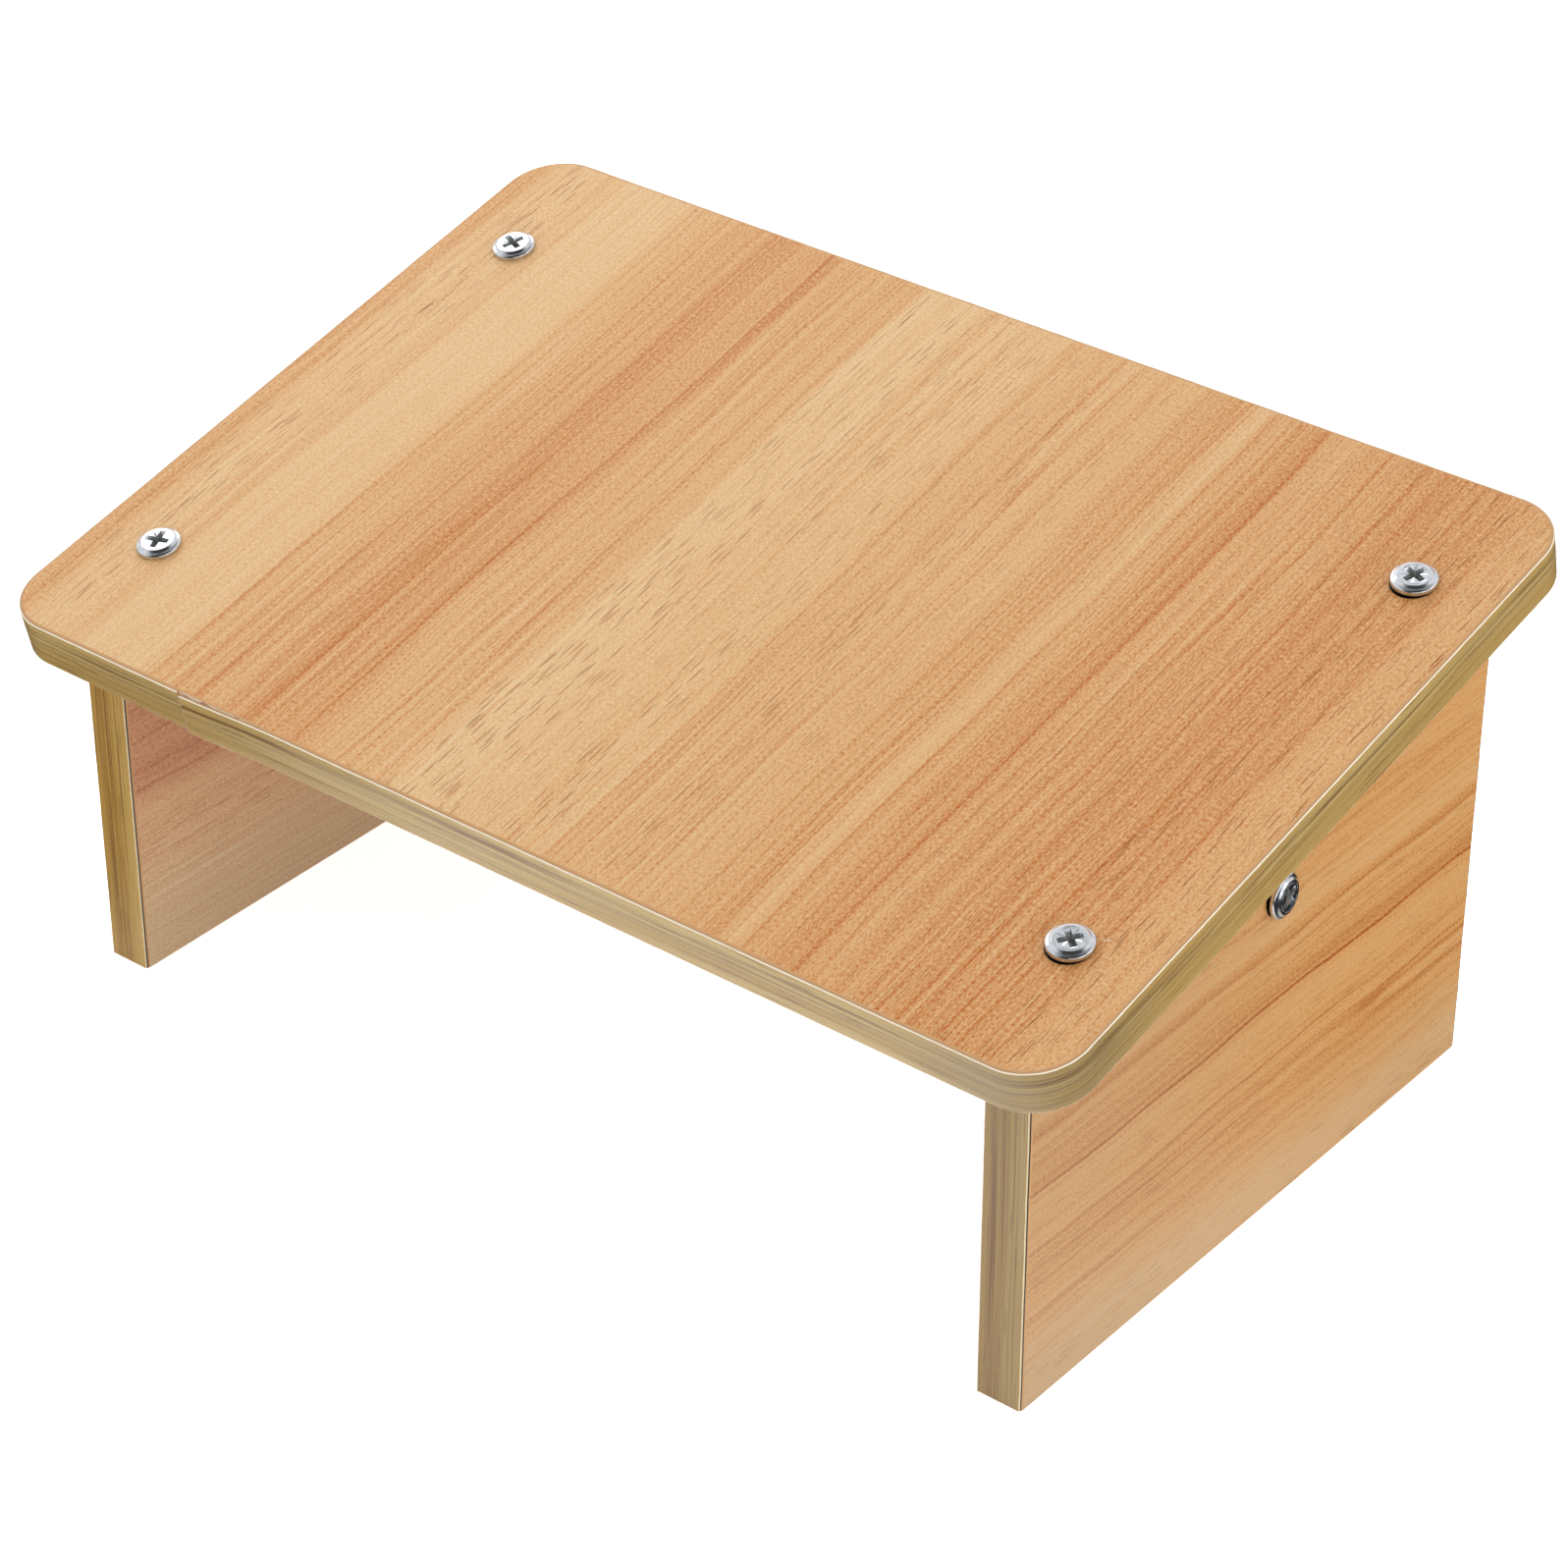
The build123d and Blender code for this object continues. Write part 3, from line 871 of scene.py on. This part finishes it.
def strip(points, along, coordinate):
    """Points, faces and map of a profile carried along a path: quads round it, and a cap at each end."""
    rows, columns = points.shape[:2]
    row, column = np.meshgrid(np.arange(rows - 1), np.arange(columns), indexing="ij")
    beyond = 2 * coordinate[-1]
    closed = np.append(coordinate, beyond)
    corners = []
    for step, side in ((1, 0), (1, 1), (0, 1), (0, 0)):
        corners.append(np.stack((along[row + step], closed[column + side]), axis=-1))
    chart = np.stack(corners, axis=2).reshape(-1, 2)
    caps = np.tile((0.0, beyond), (2 * columns, 1))
    first = np.arange(columns)
    last = first[::-1] + (rows - 1) * columns
    faces = [*grid_quads(rows, columns).tolist(), first.tolist(), last.tolist()]
    return points.reshape(-1, 3), faces, np.vstack((chart, caps))


def wander(along, offset):
    """A slow uneven wave along a band, between about -1 and 1: the sum of three sines."""
    return (np.sin(2 * pi * (along[:, None] + offset) / WANDER_LENGTHS) * WANDER_SHARES).sum(axis=1)


def walk_round(boards, bands):
    """Walks round the top board's edge from the joint. The centre of turning moves along each straight and
    stands still on each corner, and the outward direction turns only on the corners, so both are straight
    lines against the distance walked."""
    radius = boards.corner - bands.thickness
    x, y = boards.width / 2 - boards.corner, boards.depth / 2 - boards.corner
    joint = bands.joint - boards.width / 2
    start, end = joint + bands.gap / 2, joint - bands.gap / 2
    stops_x = np.array((start, x, x, x, x, -x, -x, -x, -x, end))
    stops_y = np.array((-y, -y, -y, y, y, y, y, -y, -y, -y))
    stops_turn = np.radians((-90, -90, 0, 0, 90, 90, 180, 180, 270, 270))
    runs = np.hypot(np.diff(stops_x), np.diff(stops_y)) + radius * np.diff(stops_turn)
    marks = np.append(0, np.cumsum(runs))
    along = np.linspace(0, marks[-1], round(marks[-1] / ROUND_STEP))
    turn = np.interp(along, marks, stops_turn)
    centre = np.stack((np.interp(along, marks, stops_x), np.interp(along, marks, stops_y)), axis=1)
    return along, centre, np.stack((np.cos(turn), np.sin(turn)), axis=1), radius


def make_top_band(boards, bands, material):
    """The top's band: the profile is carried round the edge, and hangs low just after the joint, coming back
    up along a smooth cubic."""
    origin, right, up, square = underside(boards)
    out, across, coordinate, follows = band_profile(boards, bands)
    along, centre, outward, radius = walk_round(boards, bands)
    gone = np.clip(along / bands.droop_run, 0, 1)
    low = bands.droop * (1 - gone * gone * (3 - 2 * gone))
    flat = centre[:, None, :] + (radius + out)[None, :, None] * outward[:, None, :]
    height = boards.thickness / 2 + across[None, :] - low[:, None]
    height = height + bands.ripple * wander(along, 0.0)[:, None] * follows[None, :]
    points = origin + flat[..., :1] * right + flat[..., 1:] * up + height[..., None] * square
    parts = strip(points, along, coordinate)
    new_piece("top_band_trimmed", *parts, "band", material, "edge_band", "top_edge_band", BAND_SHARP)


def upright_lines(boards, bands, side, end):
    """Both ends of each of the profile's lines on an upright edge, from the floor up to the sloping top."""
    origin = underside(boards)[0]
    out, across = band_profile(boards, bands)[:2]
    panel_depth = (boards.depth - 2 * boards.setback) * cos(boards.slope)
    x = side * panel_middle(boards) + across * end
    y = origin[1] + end * (panel_depth / 2 - bands.thickness + out)
    z = origin[2] + (y - origin[1]) * tan(boards.slope)
    return np.stack((x, y, np.zeros_like(y)), axis=1), np.stack((x, y, z), axis=1)


def stretcher_lines(boards, bands):
    """The same on the lower edge of the stretcher, from its right end to its left."""
    origin, right, up, square = underside(boards)
    out, across = band_profile(boards, bands)[:2]
    half = panel_middle(boards) - boards.thickness / 2
    down = boards.stretcher_height - bands.thickness + out
    line = origin + (across - boards.stretcher_forward)[:, None] * up - down[:, None] * square
    return line + half * right, line - half * right


def make_straight_band(node, boards, bands, material, lines, sideways):
    """A straight band: the profile is carried from one end of its lines to the other, and its trimmed edges
    wander sideways. The offset gives each band waves and a stretch of print of its own."""
    _, _, coordinate, follows = band_profile(boards, bands)
    start, end = lines
    span = np.linalg.norm(end - start, axis=1).max()
    step = np.linspace(0, 1, round(span / STRAIGHT_STEP))
    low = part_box(node)[0]
    offset = 3 * low.x + low.y
    wave = bands.ripple * wander(step * span, offset)[:, None] * follows[None, :]
    points = start + (end - start) * step[:, None, None] + wave[..., None] * sideways
    parts = strip(points, step * span + 5 * offset, coordinate)
    new_piece(node + "_trimmed", *parts, "band", material, "edge_band", node, BAND_SHARP)


def wing(turn, half_span, half_width):
    """Radius of a rectangle through the axis, at an angle."""
    along = half_span / np.maximum(np.abs(np.cos(turn)), 1e-9)
    beside = half_width / np.maximum(np.abs(np.sin(turn)), 1e-9)
    return np.minimum(along, beside)


def cross_outline(turn, half_span, half_width):
    """Radius of a cross of two rectangles, at an angle."""
    return np.maximum(wing(turn, half_span, half_width), wing(turn + pi / 2, half_span, half_width))


def head_rings(screws, turn):
    """The rings of a screw down to its thread, as radius and height. The recess is a cross that narrows
    downwards, the flat has a fine turned groove, and the head goes down by a chamfer and a shoulder to an
    upright rim."""
    height, neck = screws.height, screws.neck / 2
    flat, half = screws.flat / 2, screws.span / 2
    mouth = cross_outline(turn, half, half * tan(WING_ANGLE))
    floor = cross_outline(turn, screws.floor_span / 2, screws.floor_width / 2)
    rings = [
        (floor / 2, height - screws.recess),
        (floor, height - screws.recess),
        ((floor + mouth) / 2, height - screws.recess / 2),
        (mouth, height - HEAD_EASE),
        (mouth + HEAD_EASE * 0.4, height - HEAD_EASE * 0.3),
        (mouth + HEAD_EASE * 1.2, height),
    ]
    rings += [(flat * place, height - HEAD_EASE * depth) for place, depth in GROOVE]
    outline = [(0, height), (flat, height), (screws.collar / 2, screws.shoulder)]
    outline = np.array(outline + [(screws.head / 2, screws.rim), (screws.head / 2, 0), (0, 0)])
    for place, rounding in enumerate(HEAD_ROUNDINGS):
        rings += eased_corner(*outline[place : place + 3], rounding).tolist()
    rings += [(neck + NECK_FILLET, 0.0), (neck + NECK_FILLET / 4, -NECK_FILLET / 4), (neck, -NECK_FILLET)]
    return rings + [(neck, -screws.neck_length)]


def thread_rings(screws, turn):
    """The rings of a screw's thread, as the radius at each angle and the depth: a core that ends in a rounded
    point, and a ridge that climbs one pitch for each turn and fades at both ends."""
    depth = np.arange(screws.neck_length + THREAD_STEP, screws.reach - 1.5 * THREAD_STEP, THREAD_STEP)
    taper = np.clip((screws.reach - depth) / screws.point, 0, 1)
    core = screws.core / 2 * np.sqrt(taper)
    phase = (depth[:, None] / screws.pitch + turn[None, :] / (2 * pi)) % 1.0
    ridge = np.clip(1 - np.abs(phase - 0.5) / RIDGE_HALF, 0, 1)
    fade = np.clip((depth - screws.neck_length) / screws.pitch, 0, 1) * np.clip(taper * 3, 0, 1)
    return core[:, None] + (screws.crest - screws.core) / 2 * ridge * fade[:, None], depth


def screw_arrays(screws, seat, axis, side, turned):
    """Points, faces and map of one screw that looks along an axis from its seat: rings round the axis, each
    with a height and a radius at each angle, closed by a point at each end."""
    turn = np.arange(SCREW_SIDES) * 2 * pi / SCREW_SIDES
    head = head_rings(screws, turn)
    thread, depth = thread_rings(screws, turn)
    radius = np.vstack([np.broadcast_to(ring, SCREW_SIDES) for ring, _ in head] + [thread])
    level = np.append([height for _, height in head], -depth)[:, None]
    spin = turn + turned
    spoke = np.cos(spin)[:, None] * side + np.sin(spin)[:, None] * np.cross(axis, side)
    points = seat + radius[..., None] * spoke + level[..., None] * axis
    poles = np.stack((seat + level[0] * axis, seat - screws.reach * axis))

    rows, columns = radius.shape
    first = np.arange(columns)
    after = (first + 1) % columns
    last = (rows - 1) * columns
    top = np.stack((np.full(columns, rows * columns), first, after), axis=1)
    tip = np.stack((np.full(columns, rows * columns + 1), after + last, first + last), axis=1)
    sunk = np.where(np.arange(rows)[:, None] < RECESS_RINGS, screws.height - level, 0.0)
    chart = np.stack((radius, np.broadcast_to(sunk, radius.shape)), axis=-1).reshape(-1, 2)
    chart = np.vstack((chart, (0.0, screws.recess), (0.0, 0.0)))
    points = np.vstack((points.reshape(-1, 3), poles))
    return points, grid_quads(rows, columns), np.vstack((top, tip)), chart


def make_screws(node, screws, seats, material):
    """A group of like screws as one piece."""
    points, faces, chart, used = [], [], [], 0
    for seat in seats:
        own_points, quads, triangles, map_points = screw_arrays(screws, *seat)
        points.append(own_points)
        for block in (quads, triangles):
            faces += (block + used).tolist()
            chart.append(map_points[block].reshape(-1, 2))
        used += len(own_points)
    parts = np.vstack(points), faces, np.vstack(chart)
    new_piece(node + "_threaded", *parts, "turning", material, "zinc_screw", node, SCREW_SHARP)


# Studio


def heading(azimuth, elevation):
    """A direction from the footrest, turned to the right of its front and raised over the horizon."""
    flat = cos(elevation)
    return Vector((sin(azimuth) * flat, -cos(azimuth) * flat, sin(elevation)))


def stand(name, data, azimuth, elevation, distance, target):
    """Stands a lamp or a camera at a distance from the target, looking at it."""
    holder = bpy.data.objects.new(name, data)
    holder.location = target + heading(azimuth, elevation) * distance
    holder.rotation_euler = (pi / 2 - elevation, 0, azimuth)
    bpy.context.scene.collection.objects.link(holder)
    return holder


def make_room(stage):
    """Even light from all round, which the camera sees as white. Gloss shows the room bright behind the
    footrest, dim behind the camera, and dimmer overhead."""
    world = bpy.data.worlds.new("studio_room")
    world.use_nodes = True
    world.node_tree.nodes.clear()
    sheet = Sheet(world.node_tree)
    rays = sheet.add("ShaderNodeLightPath").outputs
    way = sheet.add("ShaderNodeTexCoord").outputs["Generated"]
    toward = sheet.vector("DOT_PRODUCT", way, heading(stage.azimuth, stage.elevation))["Value"]
    gloss = sheet.ease(toward, 0.40, 0.82, stage.room_bright, stage.room_dim)
    gloss = sheet.math("MULTIPLY", gloss, sheet.ease(sheet.part(way, 2), 0.77, 0.86, 1.0, stage.room_top))
    level = sheet.blend(rays["Is Glossy Ray"], stage.room, gloss)
    level = sheet.blend(rays["Is Camera Ray"], level, 1.0)
    light = sheet.add("ShaderNodeBackground", {"Color": WHITE, "Strength": level})
    sheet.add("ShaderNodeOutputWorld", {"Surface": light.outputs[0]})
    return world


def make_floor(stage):
    """Pale floor, which the camera sees as white. Gloss shows a painted pool of light on it, which glows
    white, and painted darkness beyond.
    """
    sheet, shader, material = new_material("studio_floor")
    rays = sheet.add("ShaderNodeLightPath").outputs
    place = sheet.add("ShaderNodeTexCoord").outputs["Object"]
    away = sheet.vector("DISTANCE", place, (stage.pool_x, stage.pool_y, 0))["Value"]
    # painted pool of light for glossy rays: it glows white inside and is painted dark outside
    outside = sheet.ease(away, stage.pool * 0.75, stage.pool * 1.4)
    dim = sheet.math("MULTIPLY", outside, rays["Is Glossy Ray"])
    pooled = sheet.math("MULTIPLY", sheet.math("SUBTRACT", rays["Is Glossy Ray"], dim), stage.pool_glow)
    finish = {
        "Base Color": sheet.mix(dim, opaque(stage.floor), opaque(stage.beyond)),
        "Roughness": 0.9,
        "Emission Color": WHITE,
        "Emission Strength": sheet.math("MULTIPLY_ADD", rays["Is Camera Ray"], stage.floor_glow, pooled),
    }
    sheet.fill(shader, finish)
    corners = np.array(((-1, -1, 0), (1, -1, 0), (1, 1, 0), (-1, 1, 0))) * FLOOR_HALF
    mesh = bpy.data.meshes.new("studio_floor")
    mesh.from_pydata(corners.tolist(), [], [[0, 1, 2, 3]])
    mesh.materials.append(material)
    floor = bpy.data.objects.new("studio_floor", mesh)
    bpy.context.scene.collection.objects.link(floor)


# Operators


class FOOTREST_OT_print_boards(bpy.types.Operator):
    """Gives the top, the side panels and the stretcher their wood print"""

    bl_idname = "footrest.print_boards"
    bl_label = "Print boards"

    def execute(self, context):
        boards, screws = context.scene.footrest_boards, context.scene.footrest_screws
        for make in (make_wavy_grain, make_grain_print, make_pressed_core, make_handling):
            make()
        origin, right, up, square = underside(boards)
        floor, upright = (0, 0, 0), ((0, 0, 1), (0, 1, 0))
        _, beside, level = stretcher_middle(boards)
        # painted shadow ring on the right panel, under the stretcher screw that stands off
        ring = (level, beside, boards.inset - boards.width / 2), boards.shade_radius, boards.shadow
        jobs = {
            "top_board": ("top_print", TOP_PRINT, (right, up), origin, top_shadows_and_nick(boards, screws)),
            "right_side_panel": ("right_panel_print", RIGHT_PRINT, upright, floor, [ring]),
            "left_side_panel": ("left_panel_print", LEFT_PRINT, upright, LEFT_PRINT_START),
            "stretcher": ("stretcher_print", STRETCHER_PRINT, (square, right), origin),
        }
        for node, (name, *job) in jobs.items():
            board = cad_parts[node]
            board.data.materials.clear()
            board.data.materials.append(board_material(name, boards, *job))
        return {"FINISHED"}


class FOOTREST_OT_band_top(bpy.types.Operator):
    """Makes the band round the top, with its joint"""

    bl_idname = "footrest.band_top"
    bl_label = "Band the top"

    def execute(self, context):
        boards, bands = context.scene.footrest_boards, context.scene.footrest_bands
        trimming = bands.trim_width, bands.trim, bands.smear
        origin, right, up, square = underside(boards)
        # the front right corner, round which painted shade darkens the band's print
        corner = origin + boards.width / 2 * right - boards.depth / 2 * up + boards.thickness / 2 * square
        make_top_band(boards, bands, band_material("band_print", boards, bands, "top", trimming, corner))
        return {"FINISHED"}


class FOOTREST_OT_band_panels(bpy.types.Operator):
    """Makes the upright bands of the side panels and the band under the stretcher"""

    bl_idname = "footrest.band_panels"
    bl_label = "Band the panels"

    def execute(self, context):
        boards, bands = context.scene.footrest_boards, context.scene.footrest_bands
        trimming = bands.leg_trim_width, bands.leg_trim, boards.glue
        _, right, up, _ = underside(boards)
        prints = {}
        # the left and right bands get the lighter and darker copies of one print: painted light and shade
        for side, word in ((-1, "left"), (1, "right")):
            prints[word] = band_material(word + "_band_print", boards, bands, word, trimming)
            for end, way in ((-1, "front"), (1, "back")):
                lines = upright_lines(boards, bands, side, end)
                make_straight_band(f"{word}_{way}_band", boards, bands, prints[word], lines, end * right)
        lines = stretcher_lines(boards, bands)
        make_straight_band("stretcher_band", boards, bands, prints["left"], lines, up)
        return {"FINISHED"}


class FOOTREST_OT_screw_top(bpy.types.Operator):
    """Makes the four screws that hold the top"""

    bl_idname = "footrest.screw_top"
    bl_label = "Screw the top"

    def execute(self, context):
        boards, screws = context.scene.footrest_boards, context.scene.footrest_screws
        origin, right, up, square = underside(boards)
        seats = []
        for side, end, turned in TOP_SCREWS:
            loose = side > 0
            lean = screws.lean * loose
            height = boards.thickness + screws.stand_off * loose
            along = end * screw_row(boards, screws)
            seat = origin + side * panel_middle(boards) * right + along * up + height * square
            axis = cos(lean) * square + sin(lean) * (LEAN_BACK * up + LEAN_RIGHT * right)
            across = right - (right @ axis) * axis
            seats.append((seat, axis, across / np.linalg.norm(across), radians(turned)))
        make_screws("top_screws", screws, seats, zinc_material(screws))
        return {"FINISHED"}


class FOOTREST_OT_screw_stretcher(bpy.types.Operator):
    """Makes the two screws that hold the stretcher"""

    bl_idname = "footrest.screw_stretcher"
    bl_label = "Screw the stretcher"

    def execute(self, context):
        boards, screws = context.scene.footrest_boards, context.scene.footrest_screws
        _, right, up, square = underside(boards)
        outside = boards.width / 2 - boards.inset
        seats = []
        for side, turned in STRETCHER_SCREWS:
            loose = side > 0
            lean = screws.lean * loose
            seat = stretcher_middle(boards) + side * (outside + screws.stand_off * loose) * right
            axis = cos(lean) * side * right + sin(lean) * up
            seats.append((seat, axis, square, radians(turned)))
        make_screws("stretcher_screws", screws, seats, bpy.data.materials["zinc_plating"])
        return {"FINISHED"}


class FOOTREST_OT_set_stage(bpy.types.Operator):
    """Sets up the floor, the lamps, the room light and the camera"""

    bl_idname = "footrest.set_stage"
    bl_label = "Set the stage"

    def execute(self, context):
        scene, stage = context.scene, context.scene.footrest_stage
        scene.view_settings.view_transform = "Standard"
        scene.world = make_room(stage)
        make_floor(stage)
        target = Vector((stage.target_x, stage.target_y, stage.target_z))
        for word, (azimuth, elevation, size) in LAMPS.items():
            lamp = bpy.data.lights.new(word + "_lamp", "AREA")
            lamp.shape = "RECTANGLE"
            lamp.size, lamp.size_y = size
            lamp.energy = getattr(stage, word)
            stand(word + "_lamp", lamp, radians(azimuth), radians(elevation), LAMP_DISTANCE, target)
        camera = bpy.data.cameras.new("camera")
        camera.sensor_width = SENSOR_WIDTH
        camera.lens = stage.lens / MM
        scene.camera = stand("camera", camera, stage.azimuth, stage.elevation, stage.distance, target)
        return {"FINISHED"}


class FOOTREST_PT_panel(bpy.types.Panel):
    """Lists the footrest's operators and settings"""

    bl_idname = "FOOTREST_PT_panel"
    bl_label = "Footrest"
    bl_space_type = "VIEW_3D"
    bl_region_type = "UI"
    bl_category = "Footrest"

    def draw(self, context):
        for operator in OPERATORS:
            self.layout.operator(operator.bl_idname)
        for name, group in SETTINGS.items():
            box = self.layout.box()
            for setting in group.__annotations__:
                box.prop(getattr(context.scene, name), setting)


SETTINGS = {
    "footrest_boards": FootrestBoards,
    "footrest_bands": FootrestBands,
    "footrest_screws": FootrestScrews,
    "footrest_stage": FootrestStage,
}
OPERATORS = (
    FOOTREST_OT_print_boards,
    FOOTREST_OT_band_top,
    FOOTREST_OT_band_panels,
    FOOTREST_OT_screw_top,
    FOOTREST_OT_screw_stretcher,
    FOOTREST_OT_set_stage,
)


def register():
    for kind in (*SETTINGS.values(), *OPERATORS, FOOTREST_PT_panel):
        bpy.utils.register_class(kind)
    for name, group in SETTINGS.items():
        setattr(bpy.types.Scene, name, PointerProperty(type=group))


def unregister():
    for name in SETTINGS:
        delattr(bpy.types.Scene, name)
    for kind in (FOOTREST_PT_panel, *reversed(OPERATORS), *reversed(SETTINGS.values())):
        bpy.utils.unregister_class(kind)


def main():
    register()
    bpy.ops.footrest.print_boards()
    bpy.ops.footrest.band_top()
    bpy.ops.footrest.band_panels()
    bpy.ops.footrest.screw_top()
    bpy.ops.footrest.screw_stretcher()
    bpy.ops.footrest.set_stage()


if __name__ == "__main__":
    main()
